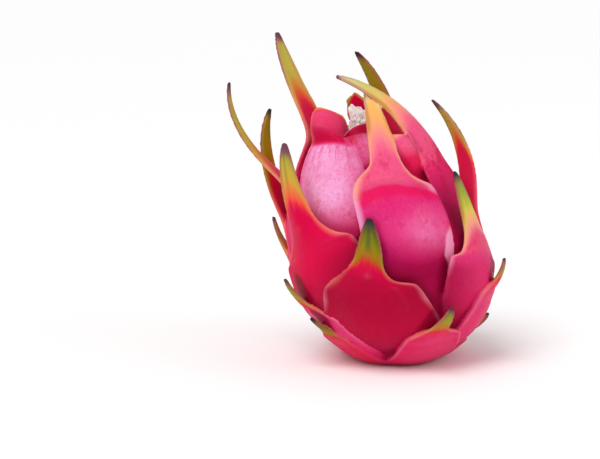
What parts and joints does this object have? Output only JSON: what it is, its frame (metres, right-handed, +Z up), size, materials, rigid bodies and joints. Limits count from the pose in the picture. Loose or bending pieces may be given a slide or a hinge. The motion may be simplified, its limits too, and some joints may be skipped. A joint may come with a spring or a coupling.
{
  "type": "dragon fruit",
  "caption": "Whole red dragon fruit standing on its stem end: egg-shaped body clad in fleshy scales that rise to long curved tips, with a withered flower base in the crown.",
  "frame": {"origin": "centre of the flat spot at the stem end that the fruit rests on", "axes": "+Z up from the resting spot towards the crown, -Y the front, +X to the right of the front; the crown leans towards -X"},
  "size_m": [0.1316, 0.1044, 0.1555],
  "materials": {
    "peel": "waxy peel, magenta with green and yellow blade tips",
    "dry_flower": "papery, off-white to pink"
  },
  "bodies": {
    "root": {"peel_with_scales": "peel", "flower_remnant": "dry_flower"}
  },
  "joints": []
}
